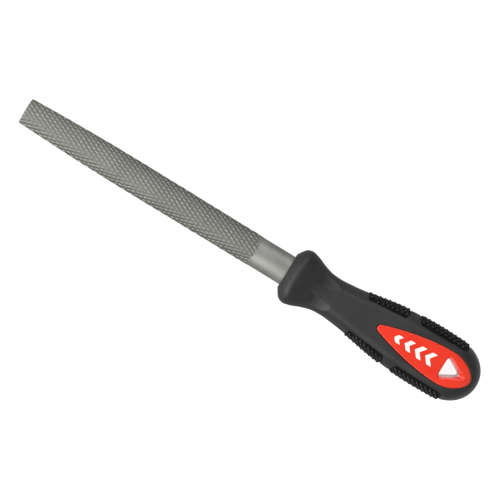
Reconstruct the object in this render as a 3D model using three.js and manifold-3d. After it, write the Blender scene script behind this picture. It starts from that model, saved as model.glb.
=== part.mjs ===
// Half-round hand file, 150 mm, in a moulded handle with a skin, grip pads and a hang hole.
// Millimetres. X runs along the file from tip (-X) to butt (+X), Y across it and Z up, with the
// rounded side of the blade up. The origin is under the middle of the file, on the plane that the
// flat underside of the handle rests on.

import * as THREE from 'three';
import { ParametricGeometry } from 'three/addons/geometries/ParametricGeometry.js';
import { mergeVertices } from 'three/addons/utils/BufferGeometryUtils.js';
import Module from 'manifold-3d';

const wasm = await Module();
wasm.setup();

// Driving dimensions
const overallLength = 258;
const bladeLength = 150;
const handleLength = overallLength - bladeLength;
const restHeight = 12;
const gap = 0.3;

// Blade: half widths and thicknesses from the tip (0) to the front of the handle (bladeLength)
const bladeHalfWidth = profile([
  [0, 6.5], [10, 6.9], [22, 7.25], [38, 7.65], [52, 7.8], [85, 7.8], [125, 7.7], [154, 7.8],
]);
const bladeThickness = profile([[0, 3.3], [20, 3.9], [45, 4.6], [70, 4.8], [154, 4.8]]);
const bladeEdge = 0.5;
const bladeFlatZ = restHeight - 2.1;
const bladeTipChamfer = 0.4;
const heelInHandle = 3.5;
const tangLength = 52;
const tangRoot = 1;
const tangShoulderLength = 6;
const tangShoulderInset = 1.5;
const tangWidth = 9;
const tangEndWidth = 3.5;
const tangThickness = 3.6;
const tangZ = bladeFlatZ + bladeThickness(bladeLength) / 2;

// Handle: outer shape, measured from its front face (0) to its butt (handleLength)
const buttLength = 18;
const buttStart = handleLength - buttLength;
const buttPower = 2.05;
const sideWall = profile([
  [0, 9.4], [2.4, 13], [5.5, 14.6], [9, 14.05], [15, 11.75], [19.5, 10.45], [24, 10.1],
  [32, 10.65], [45, 12.55], [53, 13.95], [61, 14.95], [69, 15.5], [78, 15.8], [buttStart, 15.6],
]);
const crown = profile([
  [0, 7], [2.4, 9.5], [4.6, 11.2], [5.8, 11.65], [7.2, 11.35], [10, 10.4], [15, 9.3], [20, 9.3],
  [24, 10.2], [32, 11.3], [45, 12.5], [61, 13.9], [78, 14.4], [buttStart, 14],
]);
const panel = profile([
  [0, 12], [4, 12], [7, 11.9], [10, 10.9], [14, 9.2], [18, 8.7], [23, 8.9], [28, 9.5], [34, 10], [45, 10.7],
  [60, 11.75], [66, restHeight],
]);
const squareness = profile([
  [0, 3], [3, 3], [6, 3], [10.5, 2.57], [15, 2.13], [20, 2.14], [50, 2.2],
]);
const panelFlatStart = 66;
const panelFlatEnd = 84;
const panelButtDrop = 1.6;
const skinThickness = 2.2;
const coreFront = 3;

// Window in the skin and hang hole through the core, measured from the front of the handle
const windowFront = 51.1;
const windowBack = 103.6;
const windowWidest = 89.8;
const windowHalfWidth = 8.75;
const windowTipRadius = 1.7;
const windowShoulder = { reach: 12, rise: 0.68 };
const windowEnd = { reach: 6, rise: 0.45 };
const holeFront = 88;
const holePoint = 98.9;
const holeHalfWidth = 6.15;
const holeCornerRadius = 1.9;

// Grip pads: plan shape of each, as the places where its long outer edge and short inner edge run
const padDepth = 1.1;
const padProud = 0.25;
const padCornerRadius = 1;
const padOverhang = { width: 2, cornerRadius: 0.1 };
const pads = [
  { name: 'front', outer: [35.5, 63.5], inner: [41, 60], innerY: [8.9, 10.6] },
  { name: 'rear', outer: [65, 98], inner: [69, 93.8], innerY: [11.5, 11.9] },
];

// Mesh steps
const sectionPoints = 40;
const archPoints = 16;
const bladePlaces = [0, bladeTipChamfer, 5, 12, 20, 30, 40, 52, 70, 90, 110, 130, bladeLength + heelInHandle];
const handlePlaces = [
  1.2, 2.4, 3.5, 4.6, 5.8, 7.2, 9, 12, 15, 18, 21, 24, 28, 32, 38, 45, 53, 61, panelFlatStart, 75,
  panelFlatEnd, buttStart,
];
const buttSteps = 7;
const windowCurveSteps = 8;
const holeCurveSteps = 5;
const padCurveSteps = 3;

// A smooth curve through [place, value] points
function profile(points) {
  const places = points.map((point) => point[0]);
  const values = points.map((point) => point[1]);
  const curve = new THREE.CubicInterpolant(places, values, 1);
  return (place) => curve.evaluate(Math.min(Math.max(place, places[0]), places.at(-1)))[0];
}

// x of a place measured from the tip, and of one measured from the front of the handle
const fromTip = (place) => place - overallLength / 2;
const fromHandle = (place) => fromTip(bladeLength) + place;

// A closed skin through the outlines at the given places. Both ends are closed flat.
function loft(places, outlineAt) {
  const outlines = places.map(outlineAt);
  outlines.unshift(closedEnd(outlines[0]));
  outlines.push(closedEnd(outlines.at(-1)));
  const around = outlines[0].length;
  const along = outlines.length - 1;
  const pointAt = (u, v, target) => {
    const outline = outlines[Math.round(v * along)];
    target.copy(outline[Math.round(u * around) % around]);
  };
  return solidOf(new ParametricGeometry(pointAt, around, along));
}

// An outline shrunk to its own middle
function closedEnd(outline) {
  const middle = new THREE.Vector3();
  outline.forEach((point) => middle.add(point));
  middle.divideScalar(outline.length);
  return outline.map(() => middle);
}

// A closed solid from a geometry, with shared vertices merged and collapsed triangles dropped
function solidOf(geometry) {
  const bare = new THREE.BufferGeometry();
  bare.setAttribute('position', geometry.getAttribute('position').clone());
  bare.setIndex(geometry.index);
  const merged = mergeVertices(bare, 1e-4);
  const corners = Array.from(merged.index.array);
  const kept = [];
  for (let i = 0; i < corners.length; i += 3) {
    const [a, b, c] = corners.slice(i, i + 3);
    if (a !== b && b !== c && c !== a) kept.push(a, b, c);
  }
  return new wasm.Manifold(new wasm.Mesh({
    numProp: 3,
    vertProperties: new Float32Array(merged.getAttribute('position').array),
    triVerts: new Uint32Array(kept),
  }));
}

// A prism over a plan shape, from z = low to z = high
function prism(shape, low, high, curveSegments) {
  const options = { depth: high - low, bevelEnabled: false, curveSegments };
  const geometry = new THREE.ExtrudeGeometry(shape, options);
  geometry.translate(0, 0, low);
  return solidOf(geometry);
}

// A prism right through the handle's height
const through = (shape, curveSegments) => prism(shape, -gap, 2 * restHeight + gap, curveSegments);

// A plan shape through corners that are each rounded off by their own radius
function roundedShape(corners) {
  const shape = new THREE.Shape();
  const points = corners.map(([x, y]) => new THREE.Vector2(x, y));
  points.forEach((corner, i) => {
    const radius = corners[i][2];
    const before = points.at(i - 1).clone().sub(corner).normalize();
    const after = points[(i + 1) % points.length].clone().sub(corner).normalize();
    const reach = radius / Math.tan(Math.acos(before.dot(after)) / 2);
    const start = corner.clone().addScaledVector(before, reach);
    const end = corner.clone().addScaledVector(after, reach);
    if (i === 0) shape.moveTo(start.x, start.y);
    else shape.lineTo(start.x, start.y);
    shape.quadraticCurveTo(corner.x, corner.y, end.x, end.y);
  });
  shape.closePath();
  return shape;
}

// Blade outline at a place from the tip: an arch over a flat, between two narrow edges
function bladeOutline(place, grow = 0) {
  const shrink = place === 0 ? bladeTipChamfer : 0;
  const halfWidth = bladeHalfWidth(place) - shrink + grow;
  const low = bladeFlatZ + shrink - grow;
  const top = bladeFlatZ + bladeThickness(place) - shrink + grow;
  const edgeTop = low + bladeEdge;
  const rise = top - edgeTop;
  const radius = (halfWidth ** 2 + rise ** 2) / (2 * rise);
  const spread = Math.asin(halfWidth / radius);
  const outline = [];
  for (let i = 0; i <= archPoints; i += 1) {
    const angle = spread * (1 - 2 * i / archPoints);
    const z = top - radius * (1 - Math.cos(angle));
    outline.push(new THREE.Vector3(fromTip(place), radius * Math.sin(angle), z));
  }
  outline.push(new THREE.Vector3(fromTip(place), -halfWidth, low));
  outline.push(new THREE.Vector3(fromTip(place), halfWidth, low));
  return outline;
}

// Tang in plan: shoulders behind the heel, then a long taper
function tangShape(grow = 0) {
  const start = fromTip(bladeLength + heelInHandle) - tangRoot;
  const shoulder = start + tangShoulderLength;
  const end = fromTip(bladeLength + tangLength) + grow;
  const rootHalfWidth = bladeHalfWidth(bladeLength) - tangShoulderInset + grow;
  const shape = new THREE.Shape();
  shape.moveTo(start, -rootHalfWidth);
  shape.lineTo(shoulder, -tangWidth / 2 - grow);
  shape.lineTo(end, -tangEndWidth / 2 - grow);
  shape.lineTo(end, tangEndWidth / 2 + grow);
  shape.lineTo(shoulder, tangWidth / 2 + grow);
  shape.lineTo(start, rootHalfWidth);
  shape.closePath();
  return shape;
}

function tang(grow = 0) {
  const half = tangThickness / 2 + grow;
  return prism(tangShape(grow), tangZ - half, tangZ + half, 1);
}

function fileBlade() {
  return loft(bladePlaces, (place) => bladeOutline(place)).add(tang());
}

// Room for the heel and tang, open through the front of the handle
function bladeSocket() {
  const places = [bladeLength - 2, bladeLength + heelInHandle + gap];
  return loft(places, (place) => bladeOutline(place, gap)).add(tang(gap));
}

// How far the rounded butt has closed in at a place: 1 ahead of it, 0 at its end
function buttShare(place, end) {
  const run = Math.min(Math.max((place - buttStart) / (end - buttStart), 0), 1);
  return (1 - run ** buttPower) ** (1 / buttPower);
}

// Height of the flat top and bottom panels above and below the handle's axis
function panelHeight(place) {
  if (place <= panelFlatStart) return panel(place);
  const past = Math.max(place - panelFlatEnd, 0) / (handleLength - panelFlatEnd);
  return restHeight - panelButtDrop * past ** 2;
}

// Handle outline at a place, moved inwards by inset: a rounded oblong cut flat above and below.
// Its points stand half a step off the middle, so that the foot of the flare is one level edge.
function handleOutline(place, inset) {
  const end = handleLength - inset;
  const closing = buttShare(place, end);
  const halfWidth = Math.max((sideWall(place) - inset) * closing, 0.02);
  const halfHeight = Math.max((crown(place) - inset) * closing, 0.02);
  const flat = Math.max(panelHeight(place) - inset, 0.02);
  const power = 2 / squareness(place);
  const rounded = (share) => Math.sign(share) * Math.abs(share) ** power;
  const outline = [];
  for (let i = 0; i < sectionPoints; i += 1) {
    const angle = ((i + 0.5) / sectionPoints) * Math.PI * 2;
    const y = halfWidth * rounded(Math.cos(angle));
    const z = halfHeight * rounded(Math.sin(angle));
    const cut = Math.min(Math.max(z, -flat), flat);
    outline.push(new THREE.Vector3(fromHandle(place), y, restHeight + cut));
  }
  return outline;
}

// The whole handle as a solid, moved inwards by inset, from a given front
function handleSolid(inset, front = 0) {
  const end = handleLength - inset;
  const places = [front, ...handlePlaces.filter((place) => place > front)];
  for (let i = 1; i <= buttSteps; i += 1) {
    places.push(buttStart + (end - buttStart) * Math.sin((i / buttSteps) * Math.PI / 2));
  }
  return loft(places, (place) => handleOutline(place, inset));
}

// Teardrop window in plan, grown outwards by grow
function windowShape(grow = 0) {
  const tip = fromHandle(windowFront + windowTipRadius);
  const widest = fromHandle(windowWidest);
  const back = fromHandle(windowBack) + grow;
  const half = windowHalfWidth + grow;
  const tipHalf = windowTipRadius + grow;
  const leave = [tip + windowShoulder.reach, half * windowShoulder.rise];
  const arrive = [widest - windowShoulder.reach, half];
  const turn = [widest + windowEnd.reach, half];
  const close = [back, half * windowEnd.rise];
  const shape = new THREE.Shape();
  shape.moveTo(tip - tipHalf, 0);
  shape.quadraticCurveTo(tip - tipHalf, -tipHalf, tip, -tipHalf);
  shape.bezierCurveTo(leave[0], -leave[1], arrive[0], -arrive[1], widest, -half);
  shape.bezierCurveTo(turn[0], -turn[1], close[0], -close[1], back, 0);
  shape.bezierCurveTo(close[0], close[1], turn[0], turn[1], widest, half);
  shape.bezierCurveTo(arrive[0], arrive[1], leave[0], leave[1], tip, tipHalf);
  shape.quadraticCurveTo(tip - tipHalf, tipHalf, tip - tipHalf, 0);
  return shape;
}

// Hang hole in plan: a rounded triangle with its point towards the butt
function holeShape() {
  return roundedShape([
    [fromHandle(holeFront), -holeHalfWidth, holeCornerRadius],
    [fromHandle(holePoint), 0, holeCornerRadius],
    [fromHandle(holeFront), holeHalfWidth, holeCornerRadius],
  ]);
}

function hangHole() {
  return through(holeShape(), holeCurveSteps);
}

// Core: the handle's inner body with the window standing up to the surface, above and below
function handleCore() {
  const body = handleSolid(skinThickness, coreFront);
  const windowBlock = through(windowShape(), windowCurveSteps).intersect(handleSolid(0));
  return body.add(windowBlock).subtract(bladeSocket()).subtract(hangHole());
}

// Plan outline of a pad on one side; the outer edge lies well outside the handle
function padShape(pad, side, grow) {
  const [outerStart, outerEnd] = pad.outer;
  const [innerStart, innerEnd] = pad.inner;
  const outsideY = side * (sideWall(pad.outer[1]) + padOverhang.width);
  const corners = [
    [fromHandle(outerStart) - grow, outsideY, padOverhang.cornerRadius],
    [fromHandle(innerStart) - grow, side * (pad.innerY[0] - grow), padCornerRadius],
    [fromHandle(innerEnd) + grow, side * (pad.innerY[1] - grow), padCornerRadius],
    [fromHandle(outerEnd) + grow, outsideY, padOverhang.cornerRadius],
  ];
  return roundedShape(corners);
}

function padBlock(pad, side, grow = 0) {
  return through(padShape(pad, side, grow), padCurveSteps);
}

function gripPad(pad, side) {
  const layer = handleSolid(-padProud).subtract(handleSolid(padDepth));
  return layer.intersect(padBlock(pad, side));
}

function handleShell() {
  let shell = handleSolid(0);
  shell = shell.subtract(handleSolid(skinThickness - gap, coreFront - gap));
  shell = shell.subtract(through(windowShape(gap), windowCurveSteps));
  shell = shell.subtract(bladeSocket());
  const pocketFloor = handleSolid(padDepth + gap);
  for (const pad of pads) {
    for (const side of [1, -1]) {
      shell = shell.subtract(padBlock(pad, side, gap).subtract(pocketFloor));
    }
  }
  return shell;
}

// A named mesh from a solid
function piece(name, solid, colour, roughness, metalness) {
  const mesh = solid.getMesh();
  const geometry = new THREE.BufferGeometry();
  geometry.setAttribute('position', new THREE.BufferAttribute(mesh.vertProperties, 3));
  geometry.setIndex(new THREE.BufferAttribute(mesh.triVerts, 1));
  geometry.computeVertexNormals();
  const material = new THREE.MeshStandardMaterial({ color: colour, roughness, metalness });
  const part = new THREE.Mesh(geometry, material);
  part.name = name;
  return part;
}

const file = new THREE.Group();
file.add(piece('file_blade', fileBlade(), 0x87887f, 0.45, 0.9));
file.add(piece('handle_core', handleCore(), 0xe8301f, 0.35, 0));
file.add(piece('handle_shell', handleShell(), 0x3a3a3a, 0.7, 0));
for (const pad of pads) {
  file.add(piece(`grip_pad_left_${pad.name}`, gripPad(pad, 1), 0x141414, 0.85, 0));
  file.add(piece(`grip_pad_right_${pad.name}`, gripPad(pad, -1), 0x141414, 0.85, 0));
}

export default file;
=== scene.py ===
"""Looks of a half-round hand file: cut steel blade, grey moulded skin, studded grip inlays, red window.

Lengths of the file itself are millimetres until a mesh is made. The stage and its lights are in metres.
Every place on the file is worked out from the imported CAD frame: "tip" places run from the blade's tip, and
"grip" places run from the front of the handle. Y is across, Z is up.
"""

import math

import bpy
import numpy as np
from mathutils import Matrix, Vector


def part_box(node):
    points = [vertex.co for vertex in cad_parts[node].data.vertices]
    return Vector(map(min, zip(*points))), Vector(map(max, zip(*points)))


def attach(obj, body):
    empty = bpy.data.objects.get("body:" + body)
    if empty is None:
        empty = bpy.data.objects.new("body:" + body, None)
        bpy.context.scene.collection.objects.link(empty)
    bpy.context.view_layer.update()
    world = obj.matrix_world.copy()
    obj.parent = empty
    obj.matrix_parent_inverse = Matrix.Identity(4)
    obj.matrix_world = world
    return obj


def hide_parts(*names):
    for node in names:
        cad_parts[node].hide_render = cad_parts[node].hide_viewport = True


MM = 0.001
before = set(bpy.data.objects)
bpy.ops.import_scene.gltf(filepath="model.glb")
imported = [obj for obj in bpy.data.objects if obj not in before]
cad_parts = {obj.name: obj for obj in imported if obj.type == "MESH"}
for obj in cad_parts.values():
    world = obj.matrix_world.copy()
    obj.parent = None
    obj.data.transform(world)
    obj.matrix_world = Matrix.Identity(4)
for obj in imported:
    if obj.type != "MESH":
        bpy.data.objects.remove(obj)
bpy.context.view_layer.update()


# ---------------------------------------------------------------- the frame's own measures, in millimetres
def node_box(name):
    low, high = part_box(name)
    return np.array(low) / MM, np.array(high) / MM


blade_low, blade_high = node_box("file_blade")
shell_low, shell_high = node_box("handle_shell")
TIP_X = blade_low[0]
TANG_END = blade_high[0] - TIP_X
GRIP_X = shell_low[0]
GRIP_LENGTH = shell_high[0] - GRIP_X
BLADE_LENGTH = GRIP_X - TIP_X
AXIS_Z = (shell_low[2] + shell_high[2]) / 2
FLAT_Z = blade_low[2]


# ---------------------------------------------------------------- small helpers
NOISE_CELLS = 64


def profile(points):
    """A smooth curve through (place, value) points, flat beyond its ends."""
    places, values = np.array(points, float).T
    steps = np.diff(places)
    slopes = np.diff(values) / steps
    tangents = np.empty(len(places))
    tangents[0], tangents[-1] = slopes[0], slopes[-1]
    weight = steps[:-1] / (steps[:-1] + steps[1:])
    tangents[1:-1] = slopes[:-1] * (1 - weight) + slopes[1:] * weight

    def value(place):
        x = np.clip(np.asarray(place, float), places[0], places[-1])
        i = np.clip(np.searchsorted(places, x, side="right") - 1, 0, len(steps) - 1)
        p = (x - places[i]) / steps[i]
        from_start = (2 * p**3 - 3 * p**2 + 1) * values[i]
        from_start_slope = (p**3 - 2 * p**2 + p) * steps[i] * tangents[i]
        from_end = (3 * p**2 - 2 * p**3) * values[i + 1]
        from_end_slope = (p**3 - p**2) * steps[i] * tangents[i + 1]
        return from_start + from_start_slope + from_end + from_end_slope

    return value


def smoothstep(x):
    x = np.clip(x, 0.0, 1.0)
    return x * x * (3 - 2 * x)


def smooth_min(a, b, blend):
    """The smaller of two heights, rounded off where they differ by less than the blend."""
    share = np.clip(0.5 + 0.5 * (b - a) / blend, 0, 1)
    return b * (1 - share) + a * share - blend * share * (1 - share)


def value_noise(x, y, seed):
    """Smooth noise from -1 to 1 over a plane, one cell per unit."""
    table = np.random.default_rng(seed).uniform(-1, 1, (NOISE_CELLS, NOISE_CELLS))
    column, row = np.floor(x).astype(int), np.floor(y).astype(int)
    fx, fy = smoothstep(x - column), smoothstep(y - row)

    def corner(right, up):
        return table[(column + right) % NOISE_CELLS, (row + up) % NOISE_CELLS]

    low = corner(0, 0) * (1 - fx) + corner(1, 0) * fx
    high = corner(0, 1) * (1 - fx) + corner(1, 1) * fx
    return low * (1 - fy) + high * fy


def arc_radius(half_chord, rise):
    return (half_chord**2 + rise**2) / (2 * rise)


def tube_faces(rings, around):
    """Quads between closed rings of points, facing out if the rings run counter-clockwise seen from +X."""
    i, j = np.meshgrid(np.arange(rings - 1), np.arange(around), indexing="ij")
    a = i * around + j
    b = i * around + (j + 1) % around
    return np.stack([a, b, b + around, a + around], -1).reshape(-1, 4)


class MeshMaker:
    """Collects points and faces, in millimetres, and makes one mesh object of them."""

    def __init__(self):
        self.points = []
        self.faces = []
        self.slots = []
        self.values = []
        self.count = 0

    def add(self, points, faces, slot=0, value=0.0):
        points = np.asarray(points, float).reshape(-1, 3)
        self.values.append(np.broadcast_to(value, len(points)))
        for face in faces:
            self.faces.append([int(k) + self.count for k in face])
            self.slots.append(slot)
        self.points.append(points)
        self.count += len(points)

    def build(self, name, materials, smooth_angle, attributes=None):
        mesh = bpy.data.meshes.new(name)
        points = np.concatenate(self.points) * MM
        mesh.from_pydata(points.tolist(), [], self.faces)
        for key, values in (attributes or {}).items():
            layer = mesh.attributes.new(key, "FLOAT", "POINT")
            layer.data.foreach_set("value", np.asarray(values, np.float32))
        for material in materials:
            mesh.materials.append(material)
        mesh.polygons.foreach_set("material_index", self.slots)
        mesh.polygons.foreach_set("use_smooth", [True] * len(mesh.polygons))
        mesh.update()
        obj = bpy.data.objects.new(name, mesh)
        bpy.context.scene.collection.objects.link(obj)
        mesh.set_sharp_from_angle(angle=math.radians(smooth_angle))
        return obj


# ---------------------------------------------------------------- blade
BLADE_HALF_WIDTH = profile(
    [(0, 6.5), (10, 6.9), (22, 7.25), (38, 7.65), (52, 7.8), (85, 7.8), (125, 7.7), (154, 7.8)]
)
BLADE_THICKNESS = profile([(0, 3.3), (20, 3.9), (45, 4.6), (70, 4.8), (154, 4.8)])
EDGE_HEIGHT = 0.5
EDGE_ROUND, EDGE_ROUND_WIDTH = 0.18, 0.5
TIP_BEVEL = 0.25
# How much narrower the blade's first two rings are.
TIP_NARROWING = (0.3, 0.05)
ARCH_STEPS, FLAT_STEPS = 96, 84
# The rings stand close together from the start of the cut to a little behind its end.
CUT_START, CUT_END, CUT_TAIL = 0.6, 131.0, 3.0
CUT_STEP = 0.42
# The cut ends along a bow that curves back with the square of the distance across, and is ragged besides.
CUT_BOW, CUT_FADE = 0.02, 1.6
RAGGED, RAGGED_CELL, RAGGED_ROW = 0.7, 1.3, 3.0
CUT_SPREAD = 0.18
HEEL_END = BLADE_LENGTH + 3.5
HEEL_GAP, HEEL_RINGS = 0.2, 24
TANG_RINGS = (1.5, 3.5, 6, 16, 30)
TANG_START = 6
TANG_HALF, TANG_TAPER = 4.5, 2.75
TANG_LIFT = 0.6
# Teeth stand in two crossing families of rows: (angle from the blade's length, pitch).
ARCH_CUTS = ((math.radians(25.8), 1.80), (math.radians(19.7), 1.75))
FLAT_CUTS = ((math.radians(45), 1.15), (math.radians(68), 0.95))
ARCH_TOOTH, FLAT_TOOTH = 0.38, 0.3
ARCH_SINK, FLAT_SINK = 0.2, 0.25
TIP_TOOTH = 0.2
TOOTH_FACE = 0.3
# The rows wobble a little and the teeth are worn unevenly: (amount, cell along, cell across).
ROW_WOBBLE, TOOTH_WEAR = (0.12, 6.0, 3.0), (0.12, 1.9, 1.1)
ARCH_LEAN, LEAN_SHIFT, LEAN_WIDTH = 0.12, 1.5, 9.0
CAP_TOOTH = 0.8
ARCH_END_SEED, ARCH_TOOTH_SEED = 5, 11
FLAT_END_SEED, FLAT_TOOTH_SEED = 6, 12


def tooth_shape(phase):
    """A chisel-cut ridge: a steep face, then a long back."""
    f = phase - np.floor(phase)
    face = smoothstep(f / TOOTH_FACE)
    back = 1 - smoothstep((f - TOOTH_FACE) / (1 - TOOTH_FACE))
    return np.where(f < TOOTH_FACE, face, back)


def uneven(x, across, unevenness, seed):
    """Noise over a face of the blade, from an (amount, cell along, cell across)."""
    amount, cell_along, cell_across = unevenness
    return amount * value_noise(x / cell_along, across / cell_across, seed)


def cut_height(x, across, cuts, seed, lean=0.0):
    """Height of the double cut at places along and across a face, 0 in the grooves and 1 on the points."""
    (angle_a, pitch_a), (angle_b, pitch_b) = cuts
    wobble = uneven(x, across, ROW_WOBBLE, seed)
    rows_a = tooth_shape((x * math.sin(angle_a) + across * math.cos(angle_a)) / pitch_a + wobble)
    rows_b = tooth_shape((x * math.sin(angle_b) - across * math.cos(angle_b)) / pitch_b - wobble)
    # A lean makes each family a little shallower towards one edge.
    share = smoothstep(0.5 + (across + LEAN_SHIFT) / LEAN_WIDTH)
    cut_a = 1 - (1 - lean * (1 - share)) * (1 - rows_a)
    cut_b = 1 - (1 - lean * share) * (1 - rows_b)
    return cut_a * cut_b * (1 + uneven(x, across, TOOTH_WEAR, seed + 1))


def cut_share(x, across, seed):
    """1 on the cut part of the blade, fading to 0 on the heel along a ragged bow."""
    ragged = RAGGED * value_noise(x * 0 + RAGGED_ROW, across / RAGGED_CELL, seed) - CUT_BOW * across**2
    return 1 - smoothstep((x - CUT_END - ragged) / CUT_FADE)


def blade_places():
    """Tip places of the blade's rings, close together over the cut."""
    cut = np.arange(CUT_START, CUT_END + CUT_TAIL, CUT_STEP)
    heel = np.linspace(CUT_END + CUT_TAIL + HEEL_GAP, HEEL_END, HEEL_RINGS)
    tang = HEEL_END + np.array(TANG_RINGS)
    return np.array([0.0, TIP_BEVEL, *cut, *heel, *tang, TANG_END])


def blade_section(places):
    """Half width, underside and thickness of the blade and its tang."""
    to_tang = smoothstep((places - HEEL_END) / TANG_START)
    taper = np.clip((places - HEEL_END) / (TANG_END - HEEL_END), 0, 1)
    half_width = BLADE_HALF_WIDTH(places) * (1 - to_tang) + (TANG_HALF - TANG_TAPER * taper) * to_tang
    low = FLAT_Z + TANG_LIFT * to_tang
    thickness = BLADE_THICKNESS(places) - 2 * TANG_LIFT * to_tang
    low[0] += TIP_BEVEL
    thickness[0] -= 2 * TIP_BEVEL
    half_width[:2] -= TIP_NARROWING
    half_width += CUT_SPREAD * cut_share(places, 0 * places, ARCH_END_SEED)
    return half_width, low, thickness


def blade_arch(places, half_width, low, thickness):
    """The rounded side, a row of points per place, with the teeth's height and the share of cut at each."""
    radius = arc_radius(half_width, thickness - EDGE_HEIGHT)[:, None]
    spread = np.arcsin(np.clip(half_width[:, None] / radius, -1, 1))
    angle = spread * np.linspace(1, -1, ARCH_STEPS + 1)[None, :]
    x = np.repeat(places[:, None], ARCH_STEPS + 1, 1)
    share = cut_share(x, radius * angle, ARCH_END_SEED)
    height = cut_height(x, radius * angle, ARCH_CUTS, ARCH_TOOTH_SEED, lean=ARCH_LEAN)
    lift = ARCH_TOOTH * (height - ARCH_SINK) * share
    lift[0] *= TIP_TOOTH
    y = (radius + lift) * np.sin(angle)
    z = (low + thickness)[:, None] - radius + (radius + lift) * np.cos(angle)
    return np.stack([x + TIP_X, y, z], -1), height, share


def blade_flat(places, half_width, low):
    """The flat side, in the same way."""
    across = half_width[:, None] * np.linspace(-1, 1, FLAT_STEPS + 1)[None, :]
    x = np.repeat(places[:, None], FLAT_STEPS + 1, 1)
    share = cut_share(x, across, FLAT_END_SEED)
    height = cut_height(x, -across, FLAT_CUTS, FLAT_TOOTH_SEED)
    drop = FLAT_TOOTH * (height - FLAT_SINK) * share
    drop[0] *= TIP_TOOTH
    from_edge = half_width[:, None] - np.abs(across)
    edge_round = EDGE_ROUND * smoothstep(1 - from_edge / EDGE_ROUND_WIDTH)
    return np.stack([x + TIP_X, across, low[:, None] - drop + edge_round], -1), height, share


def make_blade(materials):
    """Blade and tang as one closed skin of rings, capped at both ends."""
    places = blade_places()
    half_width, low, thickness = blade_section(places)
    arch, arch_height, arch_share = blade_arch(places, half_width, low, thickness)
    flat, flat_height, flat_share = blade_flat(places, half_width, low)
    rings = np.concatenate([arch, flat], 1)
    height = np.concatenate([arch_height, flat_height], 1)
    share = np.concatenate([arch_share, flat_share], 1)

    around = rings.shape[1]
    tip_centre = rings[0].mean(0)
    tip_inner = (rings[0] + tip_centre) / 2
    points = np.concatenate([tip_inner, rings.reshape(-1, 3), [tip_centre], [rings[-1].mean(0)]])
    tip_point, end_point = len(points) - 2, len(points) - 1
    last = len(places) * around
    faces = tube_faces(len(places) + 1, around).tolist()
    for j in range(around):
        k = (j + 1) % around
        faces.append([tip_point, k, j])
        faces.append([last + j, last + k, end_point])
    maker = MeshMaker()
    maker.add(points, faces)
    # Where there is no cut, the steel counts as a tooth's point.
    height = height * share + 1 - share
    tooth = np.concatenate([np.full(around, CAP_TOOTH), height.ravel(), [CAP_TOOTH, CAP_TOOTH]])
    cut = np.concatenate([np.ones(around), share.ravel(), [1, 0]])
    return maker.build("blade", materials, smooth_angle=50, attributes={"tooth": tooth, "cut": cut})


# ---------------------------------------------------------------- outer shape of the handle
SIDE = profile(
    [
        (0, 9.4), (2.4, 13), (5.5, 14.6), (9, 14.05), (15, 11.75), (19.5, 10.45), (24, 10.1),
        (32, 10.65), (45, 12.55), (53, 13.95), (61, 14.95), (69, 15.5), (78, 15.8), (90, 15.6),
    ]
)
CROWN = profile(
    [
        (0, 7.0), (2.4, 9.5), (4.6, 11.2), (5.8, 11.65), (7.2, 11.35), (10, 10.4), (15, 9.3),
        (20, 9.3), (24, 10.2), (32, 11.3), (45, 12.5), (61, 13.9), (78, 14.4), (90, 14.0),
    ]
)
PANEL = profile(
    [
        (0, 12), (9, 11), (14, 9.2), (18, 8.7), (23, 8.9),
        (28, 9.5), (34, 10.0), (45, 10.7), (60, 11.75), (66, 12),
    ]
)
# The panel meets the rounded crown in a soft edge of this height.
PANEL_BLEND = 1.2
PANEL_FLAT_END = 84
PANEL_BUTT_DROP = 1.6
BUTT_START = 90
BUTT_POWER = 2.05
# The power of the section's curve: 2 is an ellipse, more is squarer.
NECK_POWER, BELLY_POWER, FLARE_POWER = 2.1, 2.2, 3.0
FLARE_SQUARE_END, NECK_START = 6, 15
BELLY_START = 50
SCOOP_START, SCOOP_FOOT, SCOOP_BACK = 14.0, 20.0, 26.8
SCOOP_MIDDLE, SCOOP_HALF = 5.5, 4.3
SCOOP_TOP, SCOOP_DEPTH = 9.3, 3.3


def section(place):
    """Half width, crown height, panel height and power of the handle's section at a grip place."""
    place = np.asarray(place, float)
    run = np.clip((place - BUTT_START) / (GRIP_LENGTH - BUTT_START), 0, 1)
    closing = (1 - run**BUTT_POWER) ** (1 / BUTT_POWER)
    past = np.clip(place - PANEL_FLAT_END, 0, None) / (GRIP_LENGTH - PANEL_FLAT_END)
    panel = PANEL(place) - PANEL_BUTT_DROP * past**2
    to_neck = smoothstep((place - FLARE_SQUARE_END) / (NECK_START - FLARE_SQUARE_END))
    power = NECK_POWER + (BELLY_POWER - NECK_POWER) * np.clip(place / BELLY_START, 0, 1)
    power = power + (FLARE_POWER - NECK_POWER) * (1 - to_neck)
    return SIDE(place) * closing, CROWN(place) * closing, panel, power


def front_scoops(place, y, z):
    """Two dished cuts off the panel's front corners, which leave a wedge of it pointing at the blade."""
    behind = np.clip((place - SCOOP_FOOT) / (SCOOP_BACK - SCOOP_FOOT), 0, None)
    inside = np.clip((SCOOP_MIDDLE - np.abs(y)) / SCOOP_HALF, 0, None)
    cut = np.clip(z - SCOOP_TOP + SCOOP_DEPTH * (1 - behind**2 - inside**2), 0, None)
    limit = SCOOP_DEPTH * smoothstep((place - SCOOP_START) / (SCOOP_FOOT - SCOOP_START + 1))
    return -cut * limit / (cut + limit + 1e-6)


def top_height(place, y):
    """Height of the smooth handle surface above the axis at a plan point behind the scoops."""
    half, crown, panel, power = section(place)
    half = np.maximum(half, 1e-3)
    bulge = crown * np.maximum(1 - np.abs(y / half) ** power, 0) ** (1 / power)
    return smooth_min(bulge, panel, PANEL_BLEND)


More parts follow.
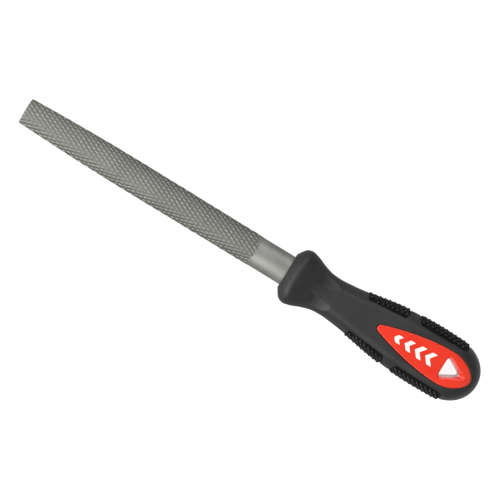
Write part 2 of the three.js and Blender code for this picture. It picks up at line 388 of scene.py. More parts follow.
def skin_point(place, angle):
    """Point of the smooth handle surface at a grip place and an angle, 0 at +Y and 90 degrees at +Z."""
    half, crown, panel, power = section(place)
    c, s = np.cos(angle), np.sin(angle)
    y = half * np.sign(c) * np.abs(c) ** (2 / power)
    z = smooth_min(crown * np.abs(s) ** (2 / power), panel, PANEL_BLEND)
    z = np.maximum(z, 0) + front_scoops(place, y, z)
    return np.stack([place + GRIP_X + 0 * angle, y, AXIS_Z + np.sign(s) * z], -1)


def surface_frame(place, angle):
    """Points and outward normals of the smooth handle surface."""
    step = 1e-3
    point = skin_point(place, angle)
    along = skin_point(place + step, angle) - skin_point(place - step, angle)
    around = skin_point(place, angle + step) - skin_point(place, angle - step)
    normal = np.cross(around, along)
    normal /= np.linalg.norm(normal, axis=-1, keepdims=True)
    return point, normal


# ---------------------------------------------------------------- outlines in plan
WINDOW_FRONT, WINDOW_BACK = 51.1, 103.6
WINDOW_WIDEST, WINDOW_HALF = 89.8, 8.75
# The window's outline runs from a round nose along a flank to a round tail. A pull is how far along the
# handle a curve keeps its first or last direction.
WINDOW_TIP_RADIUS = 1.7
NOSE_WIDENING = 1.15
FLANK_PULL, TAIL_PULL = 12, 6
NOSE_STEPS, FLANK_STEPS, TAIL_STEPS = 20, 80, 50
HOLE_FRONT, HOLE_POINT, HOLE_HALF = 88.0, 98.9, 6.15
HOLE_CORNER = 1.9
HOLE_CENTRE = 91.3
HOLE_DRAFT = 0.5
CHAMFER_FRONT, CHAMFER_POINT, CHAMFER_HALF = HOLE_FRONT - 0.5, HOLE_POINT + 2.6, HOLE_HALF + 1.2
CHAMFER_CORNER, CHAMFER_TIP = 2.4, 1.2
CHAMFER_SLOPE = 0.4
CORNER_STEPS, TRIANGLE_POINTS = 14, 160


def bezier(p0, p1, p2, p3, count):
    t = np.linspace(0, 1, count, endpoint=False)[:, None]
    p0, p1, p2, p3 = (np.array(p, float) for p in (p0, p1, p2, p3))
    return p0 * (1 - t) ** 3 + 3 * p1 * t * (1 - t) ** 2 + 3 * p2 * t**2 * (1 - t) + p3 * t**3


def resample(outline, count):
    """Points at equal distances around a closed outline."""
    closed = np.vstack([outline, outline[:1]])
    run = np.concatenate([[0], np.cumsum(np.linalg.norm(np.diff(closed, axis=0), axis=1))])
    want = np.linspace(0, run[-1], count, endpoint=False)
    return np.stack([np.interp(want, run, closed[:, 0]), np.interp(want, run, closed[:, 1])], -1)


def window_outline(count):
    """Teardrop, from its narrow front, running through -Y first."""
    r, half = WINDOW_TIP_RADIUS, WINDOW_HALF
    front, back = (WINDOW_FRONT, 0), (WINDOW_BACK, 0)
    tip = WINDOW_FRONT + r
    nose_end = (tip, -r * NOSE_WIDENING)
    widest = (WINDOW_WIDEST, -half)
    nose = bezier(front, (WINDOW_FRONT, -r * 0.7), (tip - r * 0.5, -r), nose_end, NOSE_STEPS)
    flank_out, flank_in = (tip + FLANK_PULL, -half * 0.68), (WINDOW_WIDEST - FLANK_PULL, -half)
    flank = bezier(nose_end, flank_out, flank_in, widest, FLANK_STEPS)
    tail = bezier(widest, (WINDOW_WIDEST + TAIL_PULL, -half), (WINDOW_BACK, -half * 0.45), back, TAIL_STEPS)
    lower = np.concatenate([nose, flank, tail])
    upper = np.vstack([[[WINDOW_BACK, 0]], lower[:0:-1] * [1, -1]])
    return resample(np.vstack([lower, upper]), count)


def rounded_polygon(corners, count):
    """Corners (x, y, radius) rounded off, as a dense outline."""
    points = [np.array(corner[:2], float) for corner in corners]
    path = []
    for i, corner in enumerate(points):
        before = points[i - 1] - corner
        after = points[(i + 1) % len(points)] - corner
        before /= np.linalg.norm(before)
        after /= np.linalg.norm(after)
        reach = corners[i][2] / math.tan(math.acos(float(before @ after)) / 2)
        t = np.linspace(0, 1, CORNER_STEPS)[:, None]
        start, end = corner + before * reach, corner + after * reach
        path.append(start * (1 - t) ** 2 + 2 * corner * t * (1 - t) + end * t**2)
    return resample(np.vstack(path), count)


def triangle(front, point, half, front_radius, point_radius):
    """Rounded triangle with its point towards the butt."""
    corners = [(front, -half, front_radius), (point, 0, point_radius), (front, half, front_radius)]
    return rounded_polygon(corners, TRIANGLE_POINTS)


def outward(outline):
    """Outward unit normals of a closed outline that runs counter-clockwise."""
    tangent = np.roll(outline, -1, 0) - np.roll(outline, 1, 0)
    tangent /= np.linalg.norm(tangent, axis=1)[:, None]
    return np.stack([tangent[:, 1], -tangent[:, 0]], -1)


def signed_distance(x, y, outline):
    """Distance from plan points to a closed outline, negative inside it."""
    best = np.full(len(x), np.inf)
    inside = np.zeros(len(x), bool)
    for (ax, ay), (bx, by) in zip(outline, np.roll(outline, -1, 0)):
        dx, dy = bx - ax, by - ay
        t = np.clip(((x - ax) * dx + (y - ay) * dy) / (dx * dx + dy * dy), 0, 1)
        best = np.minimum(best, (x - ax - t * dx) ** 2 + (y - ay - t * dy) ** 2)
        crosses = (ay > y) != (by > y)
        if dy != 0:
            inside ^= crosses & (x < dx * (y - ay) / dy + ax)
    return np.where(inside, -1, 1) * np.sqrt(best)


def polar(outline, centre, bearings):
    """Points of a star-shaped outline at given bearings from a centre on its axis."""
    offset = outline - [centre, 0]
    found = np.arctan2(offset[:, 1], offset[:, 0])
    order = np.argsort(found)
    reach = np.interp(bearings, found[order], np.hypot(*offset.T)[order], period=2 * math.pi)
    return np.stack([centre + reach * np.cos(bearings), reach * np.sin(bearings)], -1)


# ---------------------------------------------------------------- where the grip inlays lie
# Grip places where each inlay starts and ends, at the outside of the handle and at its inner edge, how far
# that edge is from the handle's middle at its start and end, and the grip place of one stud.
PADS = {
    "front": {"outer": (35.5, 63.5), "inner": (41.0, 60.0), "inner_y": (8.9, 10.6), "stud": 43.0},
    "rear": {"outer": (65.0, 98.0), "inner": (69.0, 93.8), "inner_y": (11.5, 11.9), "stud": 69.4},
}
PAD_OUTSIDE = 17.5
PAD_POCKET = 0.8
# The handle's side slopes there, so a step across in plan is a longer one on the surface.
SIDE_WEIGHT = 1.6


def pad_limits(pad, y):
    """First and last grip place of a pad at a distance y from the middle of the handle."""
    out = (y - pad["inner_y"][0]) / (PAD_OUTSIDE - pad["inner_y"][0])
    start = pad["inner"][0] + out * (pad["outer"][0] - pad["inner"][0])
    end = pad["inner"][1] + out * (pad["outer"][1] - pad["inner"][1])
    return start, end


def pad_inner_y(pad, place):
    """Distance from the middle of the handle to a pad's inner edge."""
    share = np.clip((place - pad["inner"][0]) / (pad["inner"][1] - pad["inner"][0]), 0, 1)
    return pad["inner_y"][0] + share * (pad["inner_y"][1] - pad["inner_y"][0])


def pad_distance(pad, place, y):
    """About how far inside a pad a point lies on the surface, negative outside."""
    start, end = pad_limits(pad, np.abs(y))
    from_side = SIDE_WEIGHT * (np.abs(y) - pad_inner_y(pad, place))
    return np.minimum(np.minimum(place - start, end - place), from_side)


# ---------------------------------------------------------------- skin
SKIN_AROUND = 248
# The skin's rings stand closer at the rim and the flare: (first grip place, last grip place, how many).
RIM_RINGS, FLARE_RINGS = (0, 1.2, 6), (1.6, 12, 30)
BODY_START, SKIN_STEP = 12.4, 0.4
BUTT_RINGS = 56
# The last ring stops just short of the butt's end, where the section has no size.
BUTT_END = GRIP_LENGTH - 0.01
# Only faces that look up or down carry the window's pocket, which fades in with the height of their normal.
LEVEL_START, LEVEL_FADE = 0.35, 0.3
WINDOW_REACH, WINDOW_MARGIN = 4, 3
WINDOW_EDGES = 240
WINDOW_POCKET, POCKET_INSET, POCKET_WALL = 1.3, 0.3, 0.7
WINDOW_LIP, LIP_PLACE, LIP_WIDTH = 0.06, 0.8, 0.45
PAD_WALL_START, PAD_WALL = 0.05, 0.4
TUNNEL_INSET = 2.2
# A distance that stands for anywhere away from the window.
FAR = 9.0
BLADE_GAP, INNER_GAP = 0.16, 0.12
# Rings in to the blade: (share of the way, how far behind the front edge), and the depth of the last.
MOUTH = ((0.25, 0.0), (0.7, 0.12), (1.0, 0.3))
MOUTH_DEPTH = 2.6
THROAT_POINTS = 200


def skin_grid():
    """Grip places and angles of the skin's points, close together on the flare and the butt."""
    quarter = np.sin(np.linspace(0, math.pi / 2, BUTT_RINGS))
    along = [
        np.linspace(*RIM_RINGS),
        np.linspace(*FLARE_RINGS),
        np.arange(BODY_START, BUTT_START, SKIN_STEP),
        BUTT_START + (BUTT_END - BUTT_START) * quarter,
    ]
    angle = (np.arange(SKIN_AROUND) + 0.5) * 2 * math.pi / SKIN_AROUND
    return np.meshgrid(np.concatenate(along), angle, indexing="ij")


def skin_depth(place, y, normal):
    """How far the skin lies below the smooth surface, and where the tunnel for the core goes through it."""
    flatness = smoothstep((np.abs(normal[..., 2]) - LEVEL_START) / LEVEL_FADE)
    to_window = np.full(place.shape, FAR)
    near = (place > WINDOW_FRONT - WINDOW_REACH) & (np.abs(y) < WINDOW_HALF + WINDOW_MARGIN)
    to_window[near] = signed_distance(place[near], y[near], window_outline(WINDOW_EDGES))
    depth = WINDOW_POCKET * (1 - smoothstep((to_window + POCKET_INSET) / POCKET_WALL)) * flatness
    for pad in PADS.values():
        depth += PAD_POCKET * smoothstep((pad_distance(pad, place, y) + PAD_WALL_START) / PAD_WALL)
    depth -= WINDOW_LIP * np.exp(-(((to_window - LIP_PLACE) / LIP_WIDTH) ** 2)) * flatness
    return depth, (to_window < -TUNNEL_INSET) & (flatness > 0.5)


def tunnel_walls(removed, opposite):
    """Walls from each loose edge of the removed upper faces down to the mirrored edge below."""
    edges = {}
    for face in removed:
        for a, b in zip(face, np.roll(face, -1)):
            edges[(int(a), int(b))] = True
    loose = [(a, b) for a, b in edges if (b, a) not in edges]
    return [[a, b, int(opposite[b]), int(opposite[a])] for a, b in loose]


def throat_ring(angle, clearance):
    """The blade's own outline at the front of the handle, grown by a clearance, one point per angle."""
    half = float(BLADE_HALF_WIDTH(BLADE_LENGTH)) + clearance
    low = FLAT_Z - clearance
    top = FLAT_Z + float(BLADE_THICKNESS(BLADE_LENGTH)) + clearance
    radius = arc_radius(half, top - low - EDGE_HEIGHT)
    arch = np.linspace(math.asin(half / radius), -math.asin(half / radius), THROAT_POINTS)
    arch = np.stack([radius * np.sin(arch), top - radius + radius * np.cos(arch)], -1)
    flat = np.stack([np.linspace(-half, half, THROAT_POINTS), np.full(THROAT_POINTS, low)], -1)
    outline = np.vstack([[[half, low]], arch, [[-half, low]], flat])
    centre = np.array([0, (low + top) / 2])
    bearing = np.unwrap(np.arctan2(*(outline - centre).T[::-1]))
    order = np.argsort(bearing)
    bearing, outline = bearing[order], outline[order]
    want = (angle - bearing[0]) % (2 * math.pi) + bearing[0]
    y = np.interp(want, bearing, outline[:, 0])
    z = np.interp(want, bearing, outline[:, 1])
    return np.stack([np.full_like(y, GRIP_X), y, z], -1)


def mouth_rings(front, angle):
    """Rings from the handle's front edge in to the blade, and then into the handle around it."""
    throat = throat_ring(angle, BLADE_GAP)
    rings = [front * (1 - share) + throat * share + [back, 0, 0] for share, back in MOUTH]
    return [*rings, throat_ring(angle, INNER_GAP) + [MOUTH_DEPTH, 0, 0]]


def make_skin(materials):
    """The moulded skin: one closed surface with pockets for the inlays and a tunnel for the core."""
    place, around = skin_grid()
    rows, cols = place.shape
    point, normal = surface_frame(place, around)
    depth, tunnel = skin_depth(place, point[..., 1], normal)
    point = point - normal * depth[..., None]

    faces = tube_faces(rows, cols)
    kept = ~tunnel.ravel()[faces].all(1)
    removed = faces[~kept]
    removed = removed[point.reshape(-1, 3)[removed[:, 0], 2] > AXIS_Z]
    opposite = np.arange(rows * cols).reshape(rows, cols)[:, ::-1].ravel()
    body = faces[kept].tolist() + tunnel_walls(removed, opposite)

    rings = mouth_rings(point[0], around[0])
    points = [point.reshape(-1, 3), *rings]
    previous = np.arange(cols)
    total = rows * cols
    for _ in rings:
        current = total + np.arange(cols)
        quads = [np.roll(previous, -1), previous, current, np.roll(current, -1)]
        body += np.stack(quads, -1).tolist()
        previous, total = current, total + cols
    points.append([rings[-1].mean(0), [GRIP_X + GRIP_LENGTH, 0, AXIS_Z]])
    last = (rows - 1) * cols
    for j in range(cols):
        k = (j + 1) % cols
        body.append([int(previous[k]), int(previous[j]), total])
        body.append([last + j, last + k, total + 1])
    maker = MeshMaker()
    maker.add(np.concatenate(points), body)
    return maker.build("skin", materials, smooth_angle=60)


# ---------------------------------------------------------------- core
CORE_SINK = 0.12
CORE_AROUND = 300
# The plate's edge: (distance inside the window's outline, depth below the smooth surface).
CORE_EDGE = ((2.6, 1.25), (0.02, 1.2), (0, 0.55), (0.08, 0.32), (0.25, 0.17), (0.55, CORE_SINK))
CORE_FACE_STEPS = 15
# The chamfer: (share of the way out from the hole, share of the chamfer's drop).
CHAMFER = ((0.96, 0.02), (0.88, 0.1), (0.7, 0.3), (0.45, 0.56), (0.2, 0.84), (0.08, 1.0), (0.01, 1.15))
HOLE_LIP = 0.33
INK_THICKNESS, INK_ROOT = 0.05, 0.1
# (grip place of the point, size)
CHEVRONS = ((60.6, 0.612), (66.4, 0.844), (72.2, 1.0), (78.0, 1.0))
CHEVRON_HALF, CHEVRON_ARM, CHEVRON_SLANT = 3.2, 2.5, 0.8


def core_ring(plan, depth):
    """Points over a plan outline, at a depth below the smooth top of the handle."""
    height = top_height(plan[:, 0], plan[:, 1]) - depth
    return np.stack([plan[:, 0] + GRIP_X, plan[:, 1], AXIS_Z + height], -1)


def level_ring(plan):
    """Points over a plan outline, at the height of the handle's axis."""
    return np.stack([plan[:, 0] + GRIP_X, plan[:, 1], np.full(len(plan), AXIS_Z)], -1)


def make_core(materials):
    """The red core where it shows: a window plate above and below, joined around the hang hole."""
    outline = window_outline(CORE_AROUND)
    normal = outward(outline)
    bearings = np.arctan2(outline[:, 1], outline[:, 0] - HOLE_CENTRE)
    hole_plan = triangle(HOLE_FRONT, HOLE_POINT, HOLE_HALF, HOLE_CORNER, HOLE_CORNER)
    hole = polar(hole_plan, HOLE_CENTRE, bearings)
    waist = polar(hole_plan - outward(hole_plan) * HOLE_DRAFT, HOLE_CENTRE, bearings)
    chamfer_plan = triangle(CHAMFER_FRONT, CHAMFER_POINT, CHAMFER_HALF, CHAMFER_CORNER, CHAMFER_TIP)
    chamfer = polar(chamfer_plan, HOLE_CENTRE, bearings)
    drop = CHAMFER_SLOPE * np.linalg.norm(chamfer - hole, axis=1)

    upper = [level_ring(outline - normal * CORE_EDGE[0][0])]
    upper += [core_ring(outline - normal * inset, depth) for inset, depth in CORE_EDGE]
    face_edge = outline - normal * CORE_EDGE[-1][0]
    for step in range(1, CORE_FACE_STEPS + 1):
        share = step / CORE_FACE_STEPS
        upper.append(core_ring(face_edge * (1 - share) + chamfer * share, CORE_SINK))
    for share, fall in CHAMFER:
        upper.append(core_ring(chamfer * share + hole * (1 - share), CORE_SINK + fall * drop))
    upper.append(core_ring(hole, CORE_SINK + HOLE_LIP + CHAMFER[-1][1] * drop))
    upper.append(level_ring(waist))
    lower = [ring * [1, 1, -1] + [0, 0, 2 * AXIS_Z] for ring in upper[-2:0:-1]]

    rings = np.array(upper + lower)
    faces = tube_faces(len(rings) + 1, len(outline)) % (len(rings) * len(outline))
    maker = MeshMaker()
    maker.add(rings.reshape(-1, 3), faces[:, ::-1].tolist())
    add_chevrons(maker)
    return maker.build("core", materials, smooth_angle=60)


def add_chevrons(maker):
    """Plain printed chevrons along the window, above and below, as thin raised ink."""
    for place, size in CHEVRONS:
        reach = CHEVRON_HALF * size
        wing = place + reach * CHEVRON_SLANT
        front = [(place, 0), (wing, -reach), (wing + CHEVRON_ARM, -reach)]
        back = [(place + CHEVRON_ARM, 0), (wing + CHEVRON_ARM, reach), (wing, reach)]
        plan = np.array(front + back)
        for side in (1, -1):
            height = top_height(plan[:, 0], plan[:, 1]) - CORE_SINK + INK_THICKNESS
            top = np.stack([plan[:, 0] + GRIP_X, plan[:, 1], AXIS_Z + side * height], -1)
            base = top - [0, 0, side * (INK_THICKNESS + INK_ROOT)]
            quads = [[0, 1, 2, 3], [0, 3, 4, 5]]
            faces = [quad[::-side] for quad in quads] + [[k + 6 for k in quad][::side] for quad in quads]
            for a in range(6):
                b = (a + 1) % 6
                faces.append([a, b, b + 6, a + 6][::side])
            maker.add(np.concatenate([top, base]), faces, slot=1)


# ---------------------------------------------------------------- grip inlays
PAD_FLOOR = 0.4
PAD_BURY = 0.04
# The rim around a pad's floor: (distance from the pad's edge, depth below the smooth surface).
PAD_RIM = ((0, 0.2), (0.1, 0.08), (0.28, 0.08), (0.45, 0.2), (0.7, PAD_FLOOR))
# How far from its edge a pad's grid lines stand, before they space out evenly.
EDGE_PLACES = (0, 0.12, 0.3, 0.45, 0.7)
PAD_STEPS, PAD_AROUND = 44, 40
# About how far a pad reaches around the handle's side.
PAD_GIRTH = 20.0
SETTLING_ROUNDS = 6
STUD_PITCH = 2.47
STUD_ROW = 2.14
# Rows on each side of the middle one, and places tried beyond a pad's ends.
STUD_ROWS, SPARE_STUDS = 6, 2
STUD_MARGIN = 1.2
STUD_SIDES = 12
GIRTH_POINTS = 241
# Rings of a stud: (radius, height above the pad's floor, how much painted highlight it carries).
STUD = (
    (1.12, -0.12, 0), (1.06, 0, 0), (0.8, 0.32, 0.1),
    (0.54, 0.62, 0.35), (0.32, 0.84, 0.85), (0.14, 0.93, 1),
)
STUD_TOP = 0.96
# The middle row's studs are larger and the two rows beside it smaller.
STUD_SIZES = {0: 1.14, 1: 0.92}


def edge_shares(length, steps):
    """Shares from 0 to 1 along a length, close together near both ends."""
    near = np.array(EDGE_PLACES) / length
    return np.concatenate([near, np.linspace(near[-1], 1 - near[-1], steps)[1:-1], 1 - near[::-1]])


def pad_patch(pad, along, around):
    """Grip places and angles of a grid over a pad that wraps the side of the handle."""
    v, w = np.meshgrid(along, around, indexing="ij")
    place = pad["inner"][0] + v * (pad["inner"][1] - pad["inner"][0])
    # A pad's ends depend on the distance across and that on the place, so a few rounds settle both.
    for _ in range(SETTLING_ROUNDS):
        half, _crown, _panel, power = section(place)
        edge = np.clip(pad_inner_y(pad, place) / half, 0, 0.999)
        angle = (2 * w - 1) * np.arccos(edge ** (power / 2))
        start, end = pad_limits(pad, half * np.cos(angle) ** (2 / power))
        place = start + v * (end - start)
    return place, angle


def make_pad(name, pad, side, materials):
    """One studded inlay: a thin tray in its pocket, with staggered rows of blunt studs."""
    along = edge_shares(pad["outer"][1] - pad["outer"][0], PAD_STEPS)
    around = edge_shares(PAD_GIRTH, PAD_AROUND)
    point, normal = surface_frame(*pad_patch(pad, along, around))
    rows, cols = point.shape[:2]
    length = np.linalg.norm(np.diff(point, axis=0), axis=-1).sum(0)
    girth = np.linalg.norm(np.diff(point, axis=1), axis=-1).sum(1)
    from_ends = np.minimum(along, 1 - along)[:, None] * length[None, :]
    from_sides = np.minimum(around, 1 - around)[None, :] * girth[:, None]
    depth = np.interp(np.minimum(from_ends, from_sides), *zip(*PAD_RIM))
    top = point - normal * depth[..., None]
    base = point - normal * (PAD_POCKET + PAD_BURY)

    index = np.arange(rows * cols).reshape(rows, cols)
    quads = np.stack([index[:-1, :-1], index[:-1, 1:], index[1:, 1:], index[1:, :-1]], -1).reshape(-1, 4)
    rim = np.concatenate([index[0, :-1], index[:-1, -1], index[-1, :0:-1], index[:0:-1, 0]])
    faces = quads.tolist() + (quads[:, ::-1] + rows * cols).tolist()
    for a, b in zip(rim, np.roll(rim, -1)):
        faces.append([int(b), int(a), int(a) + rows * cols, int(b) + rows * cols])
    maker = MeshMaker()
    layers = np.concatenate([top.reshape(-1, 3), base.reshape(-1, 3)])
    maker.add(layers * [1, side, 1], [face[::side] for face in faces])
    for place, angle, size in stud_places(pad):
        add_stud(maker, place, angle, size, side)
    return maker.build(name, materials, smooth_angle=40, attributes={"tip": np.concatenate(maker.values)})


def stud_places(pad):
    """Grip place, angle and size of each stud that fits inside a pad, in staggered rows."""
    dense = np.linspace(-math.pi / 2, math.pi / 2, GIRTH_POINTS)
    steps = int((pad["outer"][1] - pad["outer"][0]) / STUD_PITCH) + 1
    for row in range(-STUD_ROWS, STUD_ROWS + 1):
        for step in range(-SPARE_STUDS, steps + SPARE_STUDS):
            place = pad["stud"] + (step + 0.5 * (row % 2)) * STUD_PITCH
            ring = skin_point(np.full_like(dense, place), dense)
            run = np.concatenate([[0], np.cumsum(np.linalg.norm(np.diff(ring, axis=0), axis=1))])
            run -= run[len(run) // 2]
            if abs(row * STUD_ROW) > run[-1]:
                continue
            angle = np.interp(row * STUD_ROW, run, dense)
            if pad_distance(pad, place, skin_point(place, angle)[1]) >= STUD_MARGIN:
                yield place, angle, STUD_SIZES.get(abs(row), 1.0)


def add_stud(maker, place, angle, size, side):
    """One blunt round stud that stands on a pad's floor."""
    turn = np.arange(STUD_SIDES) * 2 * math.pi / STUD_SIDES
    point, normal = (part[0] for part in surface_frame(np.array([place]), np.array([angle])))
    foot = point - normal * PAD_FLOOR
    tangent = np.array([1.0, 0, 0]) - normal * normal[0]
    tangent /= np.linalg.norm(tangent)
    circle = np.cos(turn)[:, None] * tangent + np.sin(turn)[:, None] * np.cross(normal, tangent)
    rings = [foot + size * (normal * height + radius * circle) for radius, height, _ in STUD]
    points = np.concatenate([*rings, [foot + normal * STUD_TOP * size], [foot + normal * STUD[0][1]]])
    faces = tube_faces(len(rings), STUD_SIDES).tolist()
    last = (len(rings) - 1) * STUD_SIDES
    for j in range(STUD_SIDES):
        k = (j + 1) % STUD_SIDES
        faces.append([last + j, last + k, len(points) - 2])
        faces.append([k, j, len(points) - 1])
    # Each ring's share of the painted highlight on the stud's point goes into the tip attribute.
    painted_tip_highlight = np.repeat([part[2] for part in STUD], STUD_SIDES)
    maker.add(points * [1, side, 1], [face[::side] for face in faces], value=[*painted_tip_highlight, 1, 0])


# ---------------------------------------------------------------- materials
class Nodes:
    """A material's node tree, with short calls to add and join nodes."""

    def __init__(self, name):
        self.material = bpy.data.materials.new(name)
        self.material.use_nodes = True
        self.tree = self.material.node_tree
        self.shader = self.tree.nodes["Principled BSDF"]
        self.place = self.add("ShaderNodeTexCoord").outputs["Object"]

    def add(self, kind, **settings):
        node = self.tree.nodes.new(kind)
        for key, value in settings.items():
            setattr(node, key, value)
        return node

    def link(self, source, target):
        self.tree.links.new(source, target)

    def feed(self, source, name):
        """Join a source to one of the shader's own inputs."""
        self.link(source, self.shader.inputs[name])

    def noise(self, scale, detail, stretch=None):
        """Noise with this many cells per metre."""
        node = self.add("ShaderNodeTexNoise")
        node.inputs["Scale"].default_value = scale
        node.inputs["Detail"].default_value = detail
        node.inputs["Roughness"].default_value = 0.55
        source = self.place
        if stretch:
            mapping = self.add("ShaderNodeMapping")
            mapping.inputs["Scale"].default_value = stretch
            self.link(self.place, mapping.inputs["Vector"])
            source = mapping.outputs["Vector"]
        self.link(source, node.inputs["Vector"])
        return node.outputs["Fac"]

    def ramp(self, source, stops):
        """Colours at these values of a source, blended between them."""
        node = self.add("ShaderNodeValToRGB")
        ramp = node.color_ramp
        ramp.elements[0].position, ramp.elements[0].color = stops[0][0], (*stops[0][1], 1)
        ramp.elements[1].position, ramp.elements[1].color = stops[-1][0], (*stops[-1][1], 1)
        for position, colour in stops[1:-1]:
            ramp.elements.new(position).color = (*colour, 1)
        self.link(source, node.inputs["Fac"])
        return node.outputs["Color"]

    def clouds(self, source, dark, light):
        """The middle of a noise spread from a dark colour to a light one."""
        return self.ramp(source, [(0.3, dark), (0.7, light)])

    def mix(self, factor, a, b, kind="RGBA"):
        node = self.add("ShaderNodeMix", data_type=kind)
        first, output = {"RGBA": (6, 2), "FLOAT": (2, 0)}[kind]
        if isinstance(factor, float):
            node.inputs[0].default_value = factor
        else:
            self.link(factor, node.inputs[0])
        self.link(a, node.inputs[first])
        self.link(b, node.inputs[first + 1])
        return node.outputs[output]

    def range(self, source, low, high):
        node = self.add("ShaderNodeMapRange")
        node.inputs["To Min"].default_value = low
        node.inputs["To Max"].default_value = high
        self.link(source, node.inputs["Value"])
        return node.outputs["Result"]

    def attribute(self, name):
        return self.add("ShaderNodeAttribute", attribute_name=name).outputs["Fac"]

    def bump(self, *layers):
        """Bump from (height, distance in mm, strength) layers, each on top of the one before."""
        normal = None
        for height, distance, strength in layers:
            node = self.add("ShaderNodeBump")
            node.inputs["Distance"].default_value = distance * MM
            node.inputs["Strength"].default_value = strength
            self.link(height, node.inputs["Height"])
            if normal:
                self.link(normal, node.inputs["Normal"])
            normal = node.outputs["Normal"]
        self.feed(normal, "Normal")

    def set(self, **values):
        for key, value in values.items():
            self.shader.inputs[key.replace("_", " ")].default_value = value


def grey(value):
    return value, value, value


def steel_material():
    """Hardened steel: blasted grey on the cut, brighter and brushed on the heel, with painted shade in the
    grooves and a painted highlight on the tooth points.
    """
    m = Nodes("hardened_steel")
    m.set(Metallic=1.0)
    tooth, cut = m.attribute("tooth"), m.attribute("cut")
    patches = m.noise(90, 4)
    # The teeth ramp paints shade into the grooves and a lighter painted highlight onto the tooth points.
    groove_shade, back, point = (0.165, 0.165, 0.151), (0.265, 0.265, 0.246), (0.335, 0.335, 0.311)
    teeth = m.ramp(tooth, [(0.0, groove_shade), (0.45, back), (1.0, point)])
    heel = m.clouds(patches, (0.30, 0.30, 0.28), (0.40, 0.40, 0.375))
    tinted = m.mix(0.25, teeth, m.clouds(patches, (0.23, 0.23, 0.213), (0.34, 0.34, 0.316)))
    m.feed(m.mix(cut, heel, tinted), "Base Color")
    grain = m.noise(2600, 2)
    brushed = m.noise(900, 3, stretch=(0.06, 1, 1))
    m.feed(m.mix(cut, m.range(brushed, 0.50, 0.62), m.range(grain, 0.52, 0.66), "FLOAT"), "Roughness")
    m.bump((patches, 0.25, 0.25), (grain, 0.03, 0.5), (brushed, 0.02, 0.4))
    return m.material


def skin_material():
    """Dark grey moulded skin with a fine matt grain."""
    m = Nodes("grey_skin")
    m.set(IOR=1.36)
    clouds, grain = m.noise(60, 4), m.noise(3200, 2)
    m.feed(m.clouds(clouds, grey(0.019), (0.026, 0.026, 0.0255)), "Base Color")
    m.feed(m.range(grain, 0.44, 0.56), "Roughness")
    m.bump((clouds, 0.2, 0.15), (grain, 0.02, 0.5))
    return m.material


def rubber_material():
    """Softer black rubber of the studded inlays, with a painted highlight in lighter grey on the points of
    the studs.
    """
    m = Nodes("black_rubber")
    m.set(IOR=1.25)
    clouds, grain = m.noise(140, 3), m.noise(2800, 2)
    deep = m.clouds(clouds, grey(0.0015), grey(0.003))
    # A lighter grey on the stud points stands in for their highlight: a painted highlight.
    painted_tip_highlight = m.clouds(clouds, grey(0.030), grey(0.055))
    m.feed(m.mix(m.attribute("tip"), deep, painted_tip_highlight), "Base Color")
    m.feed(m.range(grain, 0.42, 0.6), "Roughness")
    m.bump((grain, 0.02, 0.5))
    return m.material


def red_material():
    """Hard red plastic, half gloss, with the faint orange peel of a moulded face."""
    m = Nodes("red_plastic")
    m.set(IOR=1.48)
    clouds, peel = m.noise(70, 3), m.noise(700, 2)
    m.feed(m.clouds(clouds, (0.65, 0.026, 0.010), (0.71, 0.037, 0.016)), "Base Color")
    m.feed(m.range(peel, 0.22, 0.30), "Roughness")
    m.bump((peel, 0.02, 0.3))
    return m.material


def ink_material():
    """Slightly worn white printing ink."""
    m = Nodes("white_ink")
    worn = m.noise(1500, 4)
    m.feed(m.ramp(worn, [(0.3, (0.80, 0.74, 0.67)), (0.55, (0.92, 0.88, 0.82))]), "Base Color")
    m.feed(m.range(worn, 0.45, 0.6), "Roughness")
    return m.material


def glow_material(name, albedo, glow):
    """Matt white or black surface that also gives off a steady white light."""
    m = Nodes(name)
    m.set(Base_Color=(*grey(albedo), 1), Roughness=0.9)
    m.set(Emission_Color=(1, 1, 1, 1), Emission_Strength=glow)
    return m.material


# ---------------------------------------------------------------- pieces
def keep(piece, slot, *nodes):
    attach(piece, "root")
    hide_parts(*nodes)


def make_pieces():
    steel, skin_look = steel_material(), skin_material()
    rubber, red, ink = rubber_material(), red_material(), ink_material()
    keep(make_blade([steel]), "hardened_steel", "file_blade")
    keep(make_skin([skin_look]), "grey_skin", "handle_shell")
    keep(make_core([red, ink]), "red_plastic", "handle_core")
    for end, pad in PADS.items():
        for side_name, side in (("left", 1), ("right", -1)):
            inlay = make_pad(f"inlay_{side_name}_{end}", pad, side, [rubber])
            keep(inlay, "black_rubber", f"grip_pad_{side_name}_{end}")


# ---------------------------------------------------------------- camera, floor and light
CAMERA_TURN = math.radians(31.45)
CAMERA_TILT = math.radians(1.3)
FIELD_OF_VIEW = math.radians(12)
# The width of the view at the height of the handle's axis and the point in its middle, in millimetres.
FIELD_WIDTH = 244.0
CENTRE_X, CENTRE_Y = 0.16, -0.9
SENSOR_WIDTH = 36
FLOOR_RADIUS, FLOOR_BEND = 2.6, 0.4
FLOOR_SIDES, BEND_STEPS = 96, 8
FLOOR_WHITE, FLOOR_GLOW = 0.22, 0.92
LIGHT_TARGET = (0, 0, AXIS_Z * MM)
WORLD_GLOW = 0.25
# A long soft box beside each edge of the file, a strong one far off its tip to the right, and two small
# ones, toward the tip and beyond the butt. The last would show as a pink patch in the window if it were
# mirrored: (name, place, width and height, power in watts, whether smooth surfaces mirror it).
LIGHTS = (
    ("box_right", (-0.20, -0.62, 0.74), (1.1, 0.34), 5.0, True),
    ("box_left", (-0.30, 0.64, 0.66), (1.1, 0.34), 3.9, True),
    ("box_tip", (-2.9, -1.19, 1.79), (2.2, 1.2), 100.0, True),
    ("box_top", (-0.65, -0.1, 1.2), (0.5, 0.5), 2.1, True),
    ("box_butt", (0.95, -0.05, 0.62), (0.6, 0.6), 2.6, False),
)
# Cards under the file, which only reflections see: (name, x from and to, y from and to, depth, glow).
REFLECTORS = (
    ("reflector_table", (-0.4, 0.4), (-0.3, 0.3), 0.004, 0.4),
    ("reflector_butt", (0.098, 0.17), (-0.03, 0.03), 0.002, 1.0),
)


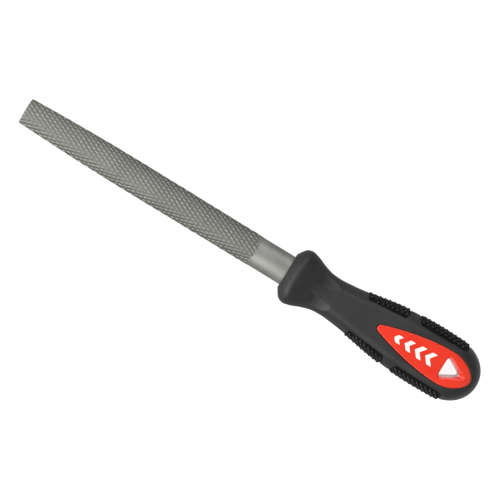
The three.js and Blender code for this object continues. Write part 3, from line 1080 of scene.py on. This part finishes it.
def make_camera():
    """Above the file, looking down and a little askew."""
    data = bpy.data.cameras.new("camera")
    data.sensor_width = SENSOR_WIDTH
    data.lens = SENSOR_WIDTH / 2 / math.tan(FIELD_OF_VIEW / 2)
    data.clip_start, data.clip_end = 0.01, 20
    camera = bpy.data.objects.new("camera", data)
    distance = FIELD_WIDTH / 2 / math.tan(FIELD_OF_VIEW / 2)
    tilt = Matrix.Rotation(-CAMERA_TILT, 3, "X")
    centre = Vector((CENTRE_X, CENTRE_Y, AXIS_Z))
    camera.location = (centre + tilt @ Vector((0, 0, distance))) * MM
    camera.rotation_euler = (tilt @ Matrix.Rotation(CAMERA_TURN, 3, "Z")).to_euler()
    bpy.context.scene.collection.objects.link(camera)
    bpy.context.scene.camera = camera


def stage_mesh(name, points, faces, material):
    mesh = bpy.data.meshes.new(name)
    mesh.from_pydata(points, [], faces)
    mesh.materials.append(material)
    stage = bpy.data.objects.new(name, mesh)
    bpy.context.scene.collection.objects.link(stage)
    return stage


def make_floor():
    """A round pale floor whose rim curves up into a low backdrop for the level views."""
    turns = [2 * math.pi * k / FLOOR_SIDES for k in range(FLOOR_SIDES)]
    points = []
    for step in range(BEND_STEPS + 1):
        rise = math.pi / 2 * step / BEND_STEPS
        radius = FLOOR_RADIUS + FLOOR_BEND * math.sin(rise)
        height = FLOOR_BEND * (1 - math.cos(rise))
        points += [(radius * math.cos(turn), radius * math.sin(turn), height) for turn in turns]
    bend = tube_faces(BEND_STEPS + 1, FLOOR_SIDES)[:, ::-1].tolist()
    material = glow_material("studio_floor", FLOOR_WHITE, FLOOR_GLOW)
    floor = stage_mesh("floor", points, [list(range(FLOOR_SIDES)), *bend], material)
    # Reflections pass through it, so that the sides of the file don't mirror a bright table.
    floor.visible_glossy = False


def reflector(name, x_range, y_range, depth, glow):
    (x0, x1), (y0, y1) = x_range, y_range
    corners = [(x0, y0, -depth), (x1, y0, -depth), (x1, y1, -depth), (x0, y1, -depth)]
    material = glow_material(name, 0.0, glow)
    material.cycles.emission_sampling = "NONE"
    stage_mesh(name, corners, [[0, 1, 2, 3]], material)


def area_light(name, place, size, power, mirrored):
    data = bpy.data.lights.new(name, "AREA")
    data.shape = "RECTANGLE"
    data.size, data.size_y = size
    data.energy = power
    light = bpy.data.objects.new(name, data)
    light.location = place
    direction = Vector(LIGHT_TARGET) - Vector(place)
    light.rotation_euler = direction.to_track_quat("-Z", "Y").to_euler()
    light.visible_glossy = mirrored
    bpy.context.scene.collection.objects.link(light)


def make_world():
    world = bpy.data.worlds.new("studio")
    world.use_nodes = True
    background = world.node_tree.nodes["Background"]
    background.inputs["Color"].default_value = (1, 1, 1, 1)
    background.inputs["Strength"].default_value = WORLD_GLOW
    bpy.context.scene.world = world
    bpy.context.scene.view_settings.view_transform = "Standard"


make_pieces()
make_camera()
make_floor()
for card in REFLECTORS:
    reflector(*card)
for light in LIGHTS:
    area_light(*light)
make_world()
